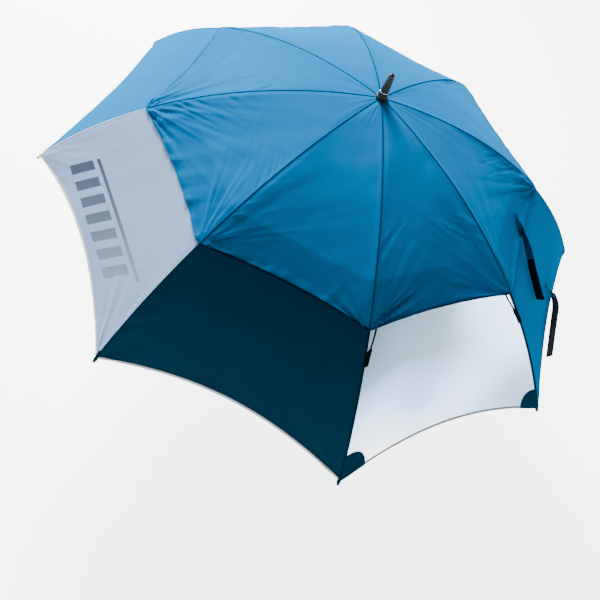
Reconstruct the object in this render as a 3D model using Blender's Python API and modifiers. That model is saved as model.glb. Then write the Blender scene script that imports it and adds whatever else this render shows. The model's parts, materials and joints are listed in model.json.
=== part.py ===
"""A vented golf umbrella, opened. Z runs up the shaft from the handle's end; lengths are in metres."""

import math

import bmesh
import bpy
from mathutils import Matrix, Vector

# Overall sizes
RIBS = 8
RIB_LENGTH = 0.864  # along the canopy, from its top to a rib's tip
APEX_HEIGHT = 1.006
SLOPE_TOP = math.radians(4.0)
SLOPE_TIP = math.radians(50.6)
HANDLE_LENGTH = 0.150
SHAFT_RADIUS = 0.007
RIB_RADIUS = 0.002

# Clearances
GAP = 0.0003
SLOT_PLAY = 0.0006
PANEL_EDGE = 0.0003  # from a panel's side to the plane of its rib
THROUGH = 0.010  # how far a cutter runs past what it cuts

# Canopy
ARC_RADIUS = RIB_LENGTH / (SLOPE_TIP - SLOPE_TOP)
SECTOR = 2 * math.pi / RIBS
FIRST_RIB = math.pi
CLOTH = 0.001
PANEL_SAG = 0.010  # as a share of the panel's width
LAYER_STEP = 0.0018  # lower panels run under the upper ones
UPPER_HEM = 0.619 * RIB_LENGTH
UPPER_SCALLOP = 0.014 * RIB_LENGTH
LOWER_TOP = 0.503 * RIB_LENGTH
LOWER_SCALLOP = 0.0637 * RIB_LENGTH
TIP_SETBACK = 0.012
RIB_DEPTH = LAYER_STEP + CLOTH / 2 + RIB_RADIUS + 2 * GAP

# Shaft, crown and ferrule
SHAFT_WALL = 0.0015
SHAFT_BORE = SHAFT_RADIUS - SHAFT_WALL
SLEEVE_BORE = SHAFT_RADIUS + GAP
HINGE_RADIUS = SHAFT_RADIUS + 0.0045
CROWN_RADIUS = HINGE_RADIUS + 0.003
WIRE = 0.0006
EYE = RIB_RADIUS + 0.0002
RIB_TONGUE = 1.3 * RIB_RADIUS
PANEL_START = CROWN_RADIUS - 0.0035
FERRULE_LENGTH = 0.0455
FERRULE_RADIUS = 0.010
CAP_HEIGHT = 0.015
RING_HEIGHT = 0.0025
SPIGOT_DEPTH = 0.020
HUB_ABOVE = 0.0034  # from the crown hinges up to the hub's rim
HUB_BELOW = 0.0050
HUB_NECK = 0.0080
ROD_START = 0.009  # from the crown hinge to where a rib turns from flat to round
TIP_WALL = 0.0016
TIP_LENGTH = 0.0100  # of the sleeve, and again of the ball

# Rib pivot and stretcher
PIVOT_AT = 0.463 * RIB_LENGTH
PIVOT_DROP = RIB_DEPTH + RIB_RADIUS + 0.0050
BRACKET_RADIUS = RIB_RADIUS + 0.0014
BRACKET_LENGTH = 0.024
TAB = 0.003
PIN = 0.0012
RUNNER_DROP = 0.2354 * RIB_LENGTH  # from the rib pivots down to the open runner's hinges
ROD_INSET = 0.010
FORK_WALL = 0.002
FORK_RADIUS = 0.0026
FORK_LENGTH = 0.0150
FORK_OPEN = 0.0050
TONGUE = 0.003
TONGUE_LENGTH = 0.016
TONGUE_BORE = 0.0010
STRETCHER_EYE = 0.0024

# Runner
RUNNER_PIVOT = SHAFT_RADIUS + 0.005
RUNNER_RADIUS = RUNNER_PIVOT + STRETCHER_EYE + 0.0001
RUNNER_HALF = 0.0045
BARREL_RADIUS = SHAFT_RADIUS + 0.0035
BARREL_LENGTH = 0.040
BUTTON_WIDTH = 0.0064
BUTTON_HEIGHT = 0.0120
BUTTON_TRAVEL = 0.0015

# Handle
GRIP_RADIUS = 0.0155
CORE_RADIUS = SHAFT_RADIUS + 0.0038
END_CAP = 0.010
COLLAR_HEIGHT = 0.008
STOP_HEIGHT = 0.005
STOP_RADIUS = BARREL_RADIUS - 0.0004
PLUG = 0.014  # how far the end cap goes up the shaft

STRAP_WIDTH = 0.018
STRAP_THICKNESS = 0.0012


def clear_scene():
    for item in list(bpy.data.objects):
        bpy.data.objects.remove(item, do_unlink=True)


def collection(name):
    made = bpy.data.collections.new(name)
    bpy.context.scene.collection.children.link(made)
    return made


clear_scene()
PARTS = collection("golf_umbrella")
CUTTERS = collection("cutters")


def material(name, colour, roughness, metallic=0.0, alpha=1.0):
    made = bpy.data.materials.new(name)
    made.use_nodes = True
    shader = made.node_tree.nodes["Principled BSDF"]
    shader.inputs["Base Color"].default_value = (*colour, 1.0)
    shader.inputs["Roughness"].default_value = roughness
    shader.inputs["Metallic"].default_value = metallic
    shader.inputs["Alpha"].default_value = alpha
    return made


def place(name, mesh, look, parent=None, at=(0.0, 0.0, 0.0), turn=0.0):
    """A named part; at and turn (about Z) are in its parent's frame."""
    made = bpy.data.objects.new(name, mesh)
    PARTS.objects.link(made)
    if look and not mesh.materials:
        mesh.materials.append(look)
    made.parent = parent
    made.location = at
    made.rotation_euler = (0.0, 0.0, turn)
    return made


def mesh_from(name, build):
    mesh = bpy.data.meshes.new(name)
    shell = bmesh.new()
    build(shell)
    shell.to_mesh(mesh)
    shell.free()
    return mesh


def outline(name, points, closed):
    def build(shell):
        verts = [shell.verts.new((r, 0.0, z)) for r, z in points]
        pairs = zip(verts, verts[1:] + verts[:1] if closed else verts[1:])
        for a, b in pairs:
            shell.edges.new((a, b))

    return mesh_from(name, build)


def turned(name, points, look, closed=False, steps=32):
    """A part turned about Z from (radius, height) points that run down its outer side."""
    made = place(name, outline(name, points, closed), look)
    screw = made.modifiers.new("turn", "SCREW")
    screw.angle = 2 * math.pi
    screw.steps = steps
    screw.render_steps = steps
    screw.use_merge_vertices = True
    screw.merge_threshold = 0.00001
    return made


def sleeve(outer, bore, top, bottom):
    return [(outer, top), (outer, bottom), (bore, bottom), (bore, top)]


def tool(name, mesh):
    made = bpy.data.objects.new(name, mesh)
    CUTTERS.objects.link(made)
    made.hide_render = True
    made.display_type = "WIRE"
    return made


def block_tool(name, low, high, turn=Matrix.Identity(4)):
    """A box from one corner to the other, then turned."""
    size = Vector(high) - Vector(low)
    middle = (Vector(high) + Vector(low)) / 2

    def build(shell):
        shape = turn @ Matrix.Translation(middle) @ Matrix.Diagonal((*size, 1.0))
        bmesh.ops.create_cube(shell, size=1.0, matrix=shape)

    return tool(name, mesh_from(name, build))


def rod_tool(name, start, end, radius, sides=16):
    start = Vector(start)
    end = Vector(end)
    along = end - start
    turn = along.to_track_quat("Z", "Y").to_matrix().to_4x4()

    def build(shell):
        bmesh.ops.create_cone(
            shell,
            cap_ends=True,
            segments=sides,
            radius1=radius,
            radius2=radius,
            depth=along.length,
            matrix=Matrix.Translation((start + end) / 2) @ turn,
        )

    return tool(name, mesh_from(name, build))


def lug_tool(name, radius, length, thickness, turn, steps=8):
    """A plate across Y, rounded about the origin and running up Z to its length, then turned."""
    arc = [math.pi + math.pi * step / steps for step in range(steps + 1)]
    points = [(radius * math.cos(a), radius * math.sin(a)) for a in arc]
    points += [(radius, length), (-radius, length)]

    def build(shell):
        verts = [shell.verts.new((x, -thickness / 2, z)) for x, z in points]
        face = shell.faces.new(verts)
        made = bmesh.ops.extrude_face_region(shell, geom=[face])["geom"]
        moved = [item for item in made if isinstance(item, bmesh.types.BMVert)]
        bmesh.ops.translate(shell, verts=moved, vec=(0.0, thickness, 0.0))
        bmesh.ops.recalc_face_normals(shell, faces=shell.faces)
        shell.transform(turn)

    return tool(name, mesh_from(name, build))


def combine(target, other, operation):
    step = target.modifiers.new(operation.lower(), "BOOLEAN")
    step.operation = operation
    step.solver = "EXACT"
    step.object = other


def finished(made):
    """The part's mesh with its modifiers applied; the part itself is removed."""
    bpy.context.view_layer.update()
    graph = bpy.context.evaluated_depsgraph_get()
    mesh = bpy.data.meshes.new_from_object(made.evaluated_get(graph))
    mesh.name = made.name
    bpy.data.objects.remove(made, do_unlink=True)
    return mesh


def on_canopy(along, raised=0.0):
    """(radius, height) at a length along a rib's line, raised along the outward normal."""
    slope = SLOPE_TOP + (SLOPE_TIP - SLOPE_TOP) * along / RIB_LENGTH
    radius = ARC_RADIUS * (math.sin(slope) - math.sin(SLOPE_TOP))
    drop = ARC_RADIUS * (math.cos(SLOPE_TOP) - math.cos(slope))
    return radius + raised * math.sin(slope), APEX_HEIGHT - drop + raised * math.cos(slope)


def hinge_point():
    """Where the crown wire passes through a rib: on the rib's own centre line."""
    along = HINGE_RADIUS
    for _ in range(20):
        along += HINGE_RADIUS - on_canopy(along, -RIB_DEPTH)[0]
    return Vector((HINGE_RADIUS, 0.0, on_canopy(along, -RIB_DEPTH)[1])), along


HINGE, HINGE_AT = hinge_point()
PIVOT = Vector((on_canopy(PIVOT_AT, -PIVOT_DROP)[0], 0.0, on_canopy(PIVOT_AT, -PIVOT_DROP)[1]))
REACH = PIVOT.x - RUNNER_PIVOT
STRETCHER_LENGTH = math.hypot(REACH, RUNNER_DROP)
RUNNER_HEIGHT = PIVOT.z - RUNNER_DROP
SHAFT_TOP = APEX_HEIGHT + 0.010
CAP_BOTTOM = APEX_HEIGHT + CLOTH / 2 + GAP
COLLAR_TOP = HANDLE_LENGTH + GAP + COLLAR_HEIGHT


def in_rib_frame(along, raised=0.0):
    radius, height = on_canopy(along, raised)
    return Vector((radius, 0.0, height)) - HINGE


def shaft_parts(black, silver):
    bottom = END_CAP + GAP
    turned("shaft_tube", sleeve(SHAFT_RADIUS, SHAFT_BORE, SHAFT_TOP, bottom), black, closed=True)
    cap_top = CAP_BOTTOM + CAP_HEIGHT
    spigot = SHAFT_BORE - GAP
    cap = [
        (FERRULE_RADIUS * 0.98, cap_top),
        (FERRULE_RADIUS * 1.08, cap_top - 0.0012),
        (FERRULE_RADIUS * 1.16, cap_top - 0.0065),
        (CROWN_RADIUS - 0.0012, CAP_BOTTOM + 0.0050),
        (CROWN_RADIUS - 0.0002, CAP_BOTTOM + 0.0030),
        (CROWN_RADIUS - 0.0002, CAP_BOTTOM),
        (SLEEVE_BORE, CAP_BOTTOM),
        (SLEEVE_BORE, SHAFT_TOP + GAP),
        (spigot + GAP, SHAFT_TOP + GAP),
        (spigot + GAP, cap_top),
    ]
    turned("canopy_cap", cap, black, closed=True)
    ring_bottom = cap_top + GAP
    ring_top = ring_bottom + RING_HEIGHT
    ring = [
        (FERRULE_RADIUS - 0.0004, ring_top),
        (FERRULE_RADIUS, ring_top - 0.0005),
        (FERRULE_RADIUS, ring_bottom + 0.0005),
        (FERRULE_RADIUS - 0.0004, ring_bottom),
        (spigot + GAP, ring_bottom),
        (spigot + GAP, ring_top),
    ]
    turned("ferrule_ring", ring, silver, closed=True)
    foot = ring_top + GAP
    top = foot + FERRULE_LENGTH
    end = 0.65 * FERRULE_RADIUS
    tip = [
        (0.0, top),
        (end * 0.55, top - 0.0006),
        (end * 0.88, top - 0.0022),
        (end, top - 0.0050),
        (end * 1.04, top - 0.0100),
        (FERRULE_RADIUS * 0.94, foot + 0.0030),
        (FERRULE_RADIUS * 0.96, foot),
        (spigot, foot),
        (spigot, SHAFT_TOP - SPIGOT_DEPTH),
        (0.0, SHAFT_TOP - SPIGOT_DEPTH),
    ]
    turned("ferrule_tip", tip, black)


def radial_slots(target, name, inner, outer, width, low, high):
    for number in range(RIBS):
        turn = Matrix.Rotation(FIRST_RIB + number * SECTOR, 4, "Z")
        corner = (inner, -width / 2, low)
        slot = block_tool(f"{name}_{number + 1}", corner, (outer, width / 2, high), turn)
        combine(target, slot, "DIFFERENCE")


def crown_parts(black, steel):
    top = HINGE.z + HUB_ABOVE
    bottom = HINGE.z - HUB_BELOW
    groove = WIRE + GAP
    hub = [
        (CROWN_RADIUS, top),
        (CROWN_RADIUS, bottom),
        (SHAFT_RADIUS + 0.0022, bottom),
        (SHAFT_RADIUS + 0.0022, bottom - HUB_NECK),
        (SLEEVE_BORE, bottom - HUB_NECK),
        (SLEEVE_BORE, top),
        (HINGE_RADIUS - groove, top),
        (HINGE_RADIUS - groove, HINGE.z - groove),
        (HINGE_RADIUS + groove, HINGE.z - groove),
        (HINGE_RADIUS + groove, top),
    ]
    notch = turned("crown_notch", hub, black, closed=True)
    slot = RIB_TONGUE + SLOT_PLAY
    inner = HINGE_RADIUS - EYE - GAP
    outer = CROWN_RADIUS + THROUGH
    radial_slots(notch, "crown_slot", inner, outer, slot, bottom - GAP, top + THROUGH)
    loop = [
        (HINGE_RADIUS + WIRE * math.sin(a * SECTOR), HINGE.z + WIRE * math.cos(a * SECTOR))
        for a in range(RIBS)
    ]
    turned("crown_wire", loop, steel, closed=True)


def rib_mesh():
    """A rib with its crown eye, stretcher bracket and pivot pin, about its crown hinge."""
    start = HINGE_AT + ROD_START
    count = 20
    curve = bpy.data.curves.new("rib_line", "CURVE")
    curve.dimensions = "3D"
    curve.bevel_depth = RIB_RADIUS
    curve.bevel_resolution = 2
    curve.use_fill_caps = True
    line = curve.splines.new("POLY")
    line.points.add(count)
    for number, point in enumerate(line.points):
        along = start + (RIB_LENGTH - start) * number / count
        point.co = (*in_rib_frame(along, -RIB_DEPTH), 1.0)
    drawn = tool("rib_line", curve)
    bpy.context.view_layer.update()
    graph = bpy.context.evaluated_depsgraph_get()
    mesh = bpy.data.meshes.new_from_object(drawn.evaluated_get(graph))
    bpy.data.objects.remove(drawn, do_unlink=True)
    welded(mesh)
    rib = place("rib", mesh, None)
    lean = in_rib_frame(HINGE_AT + ROD_START + RIB_RADIUS, -RIB_DEPTH)
    tilt = Matrix.Rotation(math.atan2(lean.x, lean.z), 4, "Y")
    combine(rib, lug_tool("rib_eye", EYE, lean.length, RIB_TONGUE, tilt), "UNION")
    across = Vector((0.0, THROUGH, 0.0))
    hole = rod_tool("rib_eye_hole", -across, across, WIRE + GAP, 12)
    combine(rib, hole, "DIFFERENCE")
    ends = [PIVOT_AT - BRACKET_LENGTH / 2, PIVOT_AT + BRACKET_LENGTH / 2]
    low, high = (in_rib_frame(along, -RIB_DEPTH) for along in ends)
    combine(rib, rod_tool("bracket_sleeve", low, high, BRACKET_RADIUS, 14), "UNION")
    pivot = PIVOT - HINGE
    lift = in_rib_frame(PIVOT_AT, -RIB_DEPTH) - pivot
    stand = Matrix.Translation(pivot) @ Matrix.Rotation(math.atan2(lift.x, lift.z), 4, "Y")
    combine(rib, lug_tool("bracket_tab", TAB, lift.length, TAB, stand), "UNION")
    reach = Vector((0.0, TAB / 2 + FORK_WALL + SLOT_PLAY, 0.0))
    combine(rib, rod_tool("bracket_pin", pivot - reach, pivot + reach, PIN, 10), "UNION")
    return finished(rib)


def welded(mesh):
    shell = bmesh.new()
    shell.from_mesh(mesh)
    bmesh.ops.remove_doubles(shell, verts=shell.verts, dist=0.000001)
    bmesh.ops.recalc_face_normals(shell, faces=shell.faces)
    shell.to_mesh(mesh)
    shell.free()


def tip_mesh():
    """A rib's end cap: a sleeve with a ball, along the rib's last stretch, about the crown hinge."""
    outer = RIB_RADIUS + TIP_WALL
    bore = RIB_RADIUS + GAP
    points = [
        (0.0, TIP_LENGTH),
        (outer * 0.62, TIP_LENGTH * 0.92),
        (outer * 0.98, TIP_LENGTH * 0.70),
        (outer, TIP_LENGTH * 0.50),
        (outer * 0.80, TIP_LENGTH * 0.22),
        (outer * 0.94, TIP_LENGTH * -0.30),
        (outer * 0.94, -TIP_LENGTH),
        (bore, -TIP_LENGTH),
        (bore, GAP),
        (0.0, GAP),
    ]
    mesh = finished(turned("tip", points, None, steps=12))
    end = in_rib_frame(RIB_LENGTH, -RIB_DEPTH)
    before = in_rib_frame(RIB_LENGTH - TIP_LENGTH, -RIB_DEPTH)
    turn = (end - before).to_track_quat("Z", "Y").to_matrix().to_4x4()
    mesh.transform(Matrix.Translation(end) @ turn)
    return mesh


def stretcher_mesh():
    """A stretcher about its rib pivot: a forked end, a rod, and a tongue that enters the runner."""
    way = (Vector((RUNNER_PIVOT, 0.0, RUNNER_HEIGHT)) - PIVOT).normalized()
    aim = Matrix.Rotation(math.atan2(way.x, way.z), 4, "Y")
    fork_gap = TAB + SLOT_PLAY
    fork = fork_gap + 2 * FORK_WALL
    start = Vector((0.0, 0.0, ROD_INSET))
    eye = Vector((0.0, 0.0, STRETCHER_LENGTH))
    rod = rod_tool("stretcher", start, eye - start, RIB_RADIUS, 12)
    across = Vector((0.0, THROUGH, 0.0))
    here = Matrix.Identity(4)
    combine(rod, lug_tool("fork", FORK_RADIUS, FORK_LENGTH, fork, here), "UNION")
    low = (-THROUGH, -fork_gap / 2, -THROUGH)
    gap = block_tool("fork_gap", low, (THROUGH, fork_gap / 2, FORK_OPEN))
    combine(rod, gap, "DIFFERENCE")
    bore = rod_tool("fork_bore", -across, across, PIN + GAP, 12)
    combine(rod, bore, "DIFFERENCE")
    end = Matrix.Translation(eye) @ Matrix.Rotation(math.pi, 4, "Y")
    combine(rod, lug_tool("tongue", STRETCHER_EYE, TONGUE_LENGTH, TONGUE, end), "UNION")
    hole = rod_tool("tongue_bore", eye - across, eye + across, TONGUE_BORE, 10)
    combine(rod, hole, "DIFFERENCE")
    mesh = finished(rod)
    mesh.transform(aim)
    return mesh


def panel_point(across, along, raised):
    """A point between this rib, which lies along X, and the next; across runs from 0 to 1."""
    radius, height = on_canopy(along, raised)
    near = Vector((radius, PANEL_EDGE, height))
    side = Vector((math.sin(SECTOR), -math.cos(SECTOR), 0.0)) * PANEL_EDGE
    far = Vector((radius * math.cos(SECTOR), radius * math.sin(SECTOR), height)) + side
    slope = SLOPE_TOP + (SLOPE_TIP - SLOPE_TOP) * along / RIB_LENGTH
    middle = SECTOR / 2
    flat = math.sin(slope)
    inward = Vector((-flat * math.cos(middle), -flat * math.sin(middle), -math.cos(slope)))
    belly = 4 * across * (1 - across)
    chord = 2 * radius * math.sin(SECTOR / 2)
    return near.lerp(far, across) + inward * (PANEL_SAG * belly * chord)


def sheet_mesh(name, rows, thickness):
    """A thin closed solid about a grid of points."""

    def build(shell):
        grid = [[shell.verts.new(point) for point in row] for row in rows]
        for above, below in zip(grid, grid[1:]):
            for left in range(len(above) - 1):
                corners = (above[left], below[left], below[left + 1], above[left + 1])
                shell.faces.new(corners)

    sheet = place(name, mesh_from(name, build), None)
    skin = sheet.modifiers.new("thickness", "SOLIDIFY")
    skin.thickness = thickness
    skin.offset = 0.0
    skin.use_even_offset = True
    return finished(sheet)


def hem(along, scallop, across):
    return along - scallop * 4 * across * (1 - across)


def panel_mesh(name, top, bottom, scallop, raised, columns, lines):
    rows = []
    for line in range(lines + 1):
        row = []
        for column in range(columns + 1):
            across = column / columns
            along = top + (hem(bottom, scallop, across) - top) * line / lines
            row.append(panel_point(across, along, raised) - HINGE)
        rows.append(row)
    return sheet_mesh(name, rows, CLOTH)


def above_panel(across, along, layer, lift):
    """A point over a panel, and the panel's outward normal there."""
    step = 0.01
    point = panel_point(across, along, layer)
    down = panel_point(across, along + step, layer) - panel_point(across, along - step, layer)
    side = panel_point(across + step, along, layer) - panel_point(across - step, along, layer)
    normal = down.cross(side).normalized()
    return point + normal * lift - HINGE, normal


def strap_mesh(name, stations, width):
    """A ribbon through (across, along, layer, lift) stations over a panel."""
    seats = [above_panel(*station) for station in stations]
    rows = []
    for number, (point, normal) in enumerate(seats):
        before = seats[max(number - 1, 0)][0]
        after = seats[min(number + 1, len(seats) - 1)][0]
        side = (after - before).cross(normal).normalized() * width / 2
        rows.append([point + side, point - side])
    return sheet_mesh(name, rows, STRAP_THICKNESS)


def strap_stations():
    """Each strap's path: the upper one crosses the upper hem, the lower one hangs past the lower hem."""
    lift = CLOTH / 2 + STRAP_THICKNESS / 2 + 2 * GAP
    over_hem = lift + 2 * GAP
    lower = -LAYER_STEP
    over = [
        (0.573, 0.549, 0.0, lift),
        (0.535, 0.570, 0.0, lift),
        (0.490, 0.593, 0.0, lift),
        (0.453, 0.612, 0.0, over_hem),
        (0.420, 0.640, 0.0, over_hem),
        (0.390, 0.664, lower, lift + LAYER_STEP / 2),
        (0.362, 0.692, lower, lift),
        (0.328, 0.741, lower, lift),
        (0.313, 0.780, lower, lift),
    ]
    hanging = [
        (0.526, 0.845, lower, lift),
        (0.545, 0.880, lower, lift),
        (0.563, 0.912, lower, lift + 0.0010),
        (0.570, 0.940, lower, lift + 0.0040),
        (0.550, 0.958, lower, lift + 0.0085),
        (0.500, 0.968, lower, lift + 0.0115),
        (0.430, 0.974, lower, lift + 0.0130),
        (0.350, 0.978, lower, lift + 0.0140),
        (0.270, 0.980, lower, lift + 0.0140),
    ]
    scaled = []
    for path in (over, hanging):
        scaled.append([(across, along * RIB_LENGTH, layer, up) for across, along, layer, up in path])
    return scaled


def canopy_parts(looks):
    rib = rib_mesh()
    tip = tip_mesh()
    stretcher = stretcher_mesh()
    upper = panel_mesh("upper_panel", PANEL_START, UPPER_HEM, UPPER_SCALLOP, 0.0, 4, 8)
    bottom = RIB_LENGTH - TIP_SETBACK
    scallop = LOWER_SCALLOP - TIP_SETBACK
    lower = panel_mesh("lower_panel", LOWER_TOP, bottom, scallop, -LAYER_STEP, 8, 7)
    names = ["lower_panel_white", "lower_panel_navy", "window_panel"]
    names += [f"lower_panel_blue_{number + 1}" for number in range(RIBS - len(names))]
    cloths = [looks["white"], looks["navy"], looks["film"]] + [looks["blue"]] * (RIBS - 3)
    for mesh, look in ((rib, "black"), (tip, "black"), (stretcher, "black"), (upper, "blue")):
        mesh.materials.append(looks[look])
    holders = []
    for number in range(RIBS):
        turn = FIRST_RIB + number * SECTOR
        seat = Matrix.Rotation(turn, 4, "Z") @ HINGE
        holder = place(f"rib_{number + 1}", rib, None, None, seat, turn)
        place(f"rib_tip_{number + 1}", tip, None, holder)
        place(f"stretcher_{number + 1}", stretcher, None, holder, PIVOT - HINGE)
        place(f"upper_panel_{number + 1}", upper, None, holder)
        place(names[number], lower.copy(), cloths[number], holder)
        holders.append(holder)
    stations = strap_stations()
    place("strap_upper", strap_mesh("strap_upper", stations[0], STRAP_WIDTH), looks["blue"], holders[3])
    place("strap_lower", strap_mesh("strap_lower", stations[1], STRAP_WIDTH), looks["blue"], holders[3])


def runner_parts(black, grey):
    height = RUNNER_HEIGHT
    bottom = height - RUNNER_HALF - BARREL_LENGTH
    profile = [
        (RUNNER_RADIUS - 0.0006, height + RUNNER_HALF),
        (RUNNER_RADIUS, height + RUNNER_HALF - 0.0008),
        (RUNNER_RADIUS, height - RUNNER_HALF + 0.0008),
        (RUNNER_RADIUS - 0.0006, height - RUNNER_HALF),
        (BARREL_RADIUS, height - RUNNER_HALF - 0.0010),
        (BARREL_RADIUS, bottom + 0.0060),
        (BARREL_RADIUS - 0.0006, bottom + 0.0050),
        (BARREL_RADIUS, bottom + 0.0040),
        (BARREL_RADIUS, bottom + 0.0006),
        (BARREL_RADIUS - 0.0006, bottom),
        (SLEEVE_BORE, bottom),
        (SLEEVE_BORE, height + RUNNER_HALF),
    ]
    body = turned("runner_body", profile, black, closed=True)
    slot = TONGUE + 2 * SLOT_PLAY
    inner = RUNNER_PIVOT - STRETCHER_EYE - 2 * GAP
    low = height - RUNNER_HALF - 0.0012
    outer = RUNNER_RADIUS + THROUGH
    radial_slots(body, "runner_slot", inner, outer, slot, low, height + THROUGH)
    turn = Matrix.Rotation(FIRST_RIB + SECTOR / 2, 4, "Z")
    middle = height - RUNNER_HALF - 0.6 * BARREL_LENGTH
    wide = BUTTON_WIDTH / 2 + GAP
    tall = BUTTON_HEIGHT / 2 + GAP
    corner = (BARREL_RADIUS + THROUGH, wide, middle + tall)
    window = block_tool("button_window", (0.0, -wide, middle - tall), corner, turn)
    combine(body, window, "DIFFERENCE")
    back = SLEEVE_BORE + BUTTON_TRAVEL + GAP
    front = BARREL_RADIUS + BUTTON_TRAVEL + GAP

    def build(shell):
        shape = Matrix.Diagonal((front - back, BUTTON_WIDTH, BUTTON_HEIGHT, 1.0))
        bmesh.ops.create_cube(shell, size=1.0, matrix=shape)

    seat = turn @ Vector(((front + back) / 2, 0.0, middle))
    button = place("runner_button", mesh_from("runner_button", build), grey, None, seat)
    button.rotation_euler.z = FIRST_RIB + SECTOR / 2
    soften = button.modifiers.new("soften", "BEVEL")
    soften.width = 0.0006
    soften.segments = 2
    stop_bottom = height + RUNNER_HALF + GAP
    stop = sleeve(STOP_RADIUS, SLEEVE_BORE, stop_bottom + STOP_HEIGHT, stop_bottom)
    turned("open_stop", stop, black, closed=True)


def handle_parts(black, rubber, gloss):
    foot = END_CAP + GAP
    top = HANDLE_LENGTH
    core = sleeve(CORE_RADIUS, SLEEVE_BORE, top, foot)
    turned("handle_core", core, black, closed=True)
    span = top - foot
    swell = [
        (0.88, 1.0),
        (0.93, 0.985),
        (0.95, 0.90),
        (0.97, 0.75),
        (1.00, 0.55),
        (0.97, 0.33),
        (0.93, 0.16),
        (0.98, 0.05),
        (0.96, 0.0),
    ]
    outside = [(GRIP_RADIUS * wide, foot + span * share) for wide, share in swell]
    inside = [(CORE_RADIUS + GAP, foot), (CORE_RADIUS + GAP, top)]
    turned("handle_grip", outside + inside, rubber, closed=True)
    collar = [
        (SHAFT_RADIUS + 0.0030, COLLAR_TOP),
        (SHAFT_RADIUS + 0.0046, COLLAR_TOP - 0.0010),
        (GRIP_RADIUS * 0.86, top + GAP + 0.0014),
        (GRIP_RADIUS * 0.86, top + GAP),
        (SLEEVE_BORE, top + GAP),
        (SLEEVE_BORE, COLLAR_TOP),
    ]
    turned("handle_collar", collar, gloss, closed=True)
    plug = SHAFT_BORE - GAP
    cap = [
        (0.0, END_CAP + PLUG),
        (plug - 0.0006, END_CAP + PLUG),
        (plug, END_CAP + PLUG - 0.001),
        (plug, END_CAP),
        (GRIP_RADIUS * 0.97, END_CAP),
        (GRIP_RADIUS, END_CAP - 0.0020),
        (GRIP_RADIUS * 0.99, 0.0030),
        (GRIP_RADIUS * 0.93, 0.0008),
        (GRIP_RADIUS * 0.84, 0.0),
        (0.0, 0.0),
    ]
    turned("handle_end_cap", cap, gloss)
    low = COLLAR_TOP + GAP
    stop = sleeve(STOP_RADIUS, SLEEVE_BORE, low + STOP_HEIGHT, low)
    turned("lower_collar", stop, black, closed=True)


def build_umbrella():
    black = material("black_nylon", (0.018, 0.018, 0.020), 0.45)
    gloss = material("black_gloss", (0.012, 0.012, 0.013), 0.25)
    rubber = material("grip_rubber", (0.030, 0.030, 0.033), 0.75)
    grey = material("button_grey", (0.16, 0.16, 0.17), 0.45)
    looks = {
        "black": material("black_fibreglass", (0.020, 0.020, 0.022), 0.38),
        "blue": material("blue_cloth", (0.020, 0.300, 0.640), 0.60),
        "navy": material("navy_cloth", (0.004, 0.035, 0.085), 0.60),
        "white": material("white_cloth", (0.620, 0.680, 0.800), 0.65),
        "film": material("clear_film", (0.800, 0.820, 0.850), 0.25, alpha=0.45),
    }
    shaft_parts(looks["black"], material("silver", (0.750, 0.750, 0.770), 0.22, 1.0))
    crown_parts(black, material("steel_wire", (0.550, 0.550, 0.560), 0.35, 1.0))
    canopy_parts(looks)
    runner_parts(black, grey)
    handle_parts(black, rubber, gloss)


build_umbrella()
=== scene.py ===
"""Looks for a vented golf umbrella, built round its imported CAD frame. Lengths are in metres."""

import json
import math

import bpy
import numpy as np
from mathutils import Matrix, Vector


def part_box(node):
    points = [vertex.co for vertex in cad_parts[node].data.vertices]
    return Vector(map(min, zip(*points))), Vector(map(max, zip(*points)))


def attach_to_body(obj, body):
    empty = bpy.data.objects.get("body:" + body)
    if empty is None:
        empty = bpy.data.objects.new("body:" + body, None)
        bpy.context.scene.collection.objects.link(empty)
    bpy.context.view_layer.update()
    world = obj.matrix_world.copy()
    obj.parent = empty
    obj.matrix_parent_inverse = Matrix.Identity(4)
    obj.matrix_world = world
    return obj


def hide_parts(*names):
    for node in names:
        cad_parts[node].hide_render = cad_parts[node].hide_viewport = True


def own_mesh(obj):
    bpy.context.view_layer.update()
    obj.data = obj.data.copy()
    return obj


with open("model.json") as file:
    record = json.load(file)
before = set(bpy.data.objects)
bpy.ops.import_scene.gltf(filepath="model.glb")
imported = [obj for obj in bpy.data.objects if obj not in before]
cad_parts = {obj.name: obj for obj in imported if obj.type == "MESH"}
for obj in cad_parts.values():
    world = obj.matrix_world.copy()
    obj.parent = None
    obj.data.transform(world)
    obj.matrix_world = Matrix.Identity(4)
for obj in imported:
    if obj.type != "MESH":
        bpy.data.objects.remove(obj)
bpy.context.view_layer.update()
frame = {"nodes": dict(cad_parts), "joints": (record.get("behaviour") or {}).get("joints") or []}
JOINTS = {joint["name"]: joint for joint in frame["joints"]}

RIBS = 8
SECTOR = 2 * math.pi / RIBS
SLOPE_TOP = math.radians(4.0)  # the canopy's slope at its top and at its tips
SLOPE_TIP = math.radians(50.6)
RIB_RADIUS = 0.002
RIB_DEPTH = 0.0049  # from the canopy's line down to a rib's centre line
LAYER_STEP = 0.0018  # from the upper layer down to the lower
PANEL_SAG = 0.010  # share of a gore's chord
PANEL_TOP = 0.011
TIP_SETBACK = 0.003
UPPER_KEEP = 0.34  # share of a panel's width that is left when the umbrella is folded
LOWER_KEEP = 0.125
UPPER_HEM_WIDTH = 0.0045
LOWER_HEM_WIDTH = 0.0055
SHAFT_RADIUS = (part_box("shaft_tube")[1].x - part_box("shaft_tube")[0].x) / 2

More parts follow.
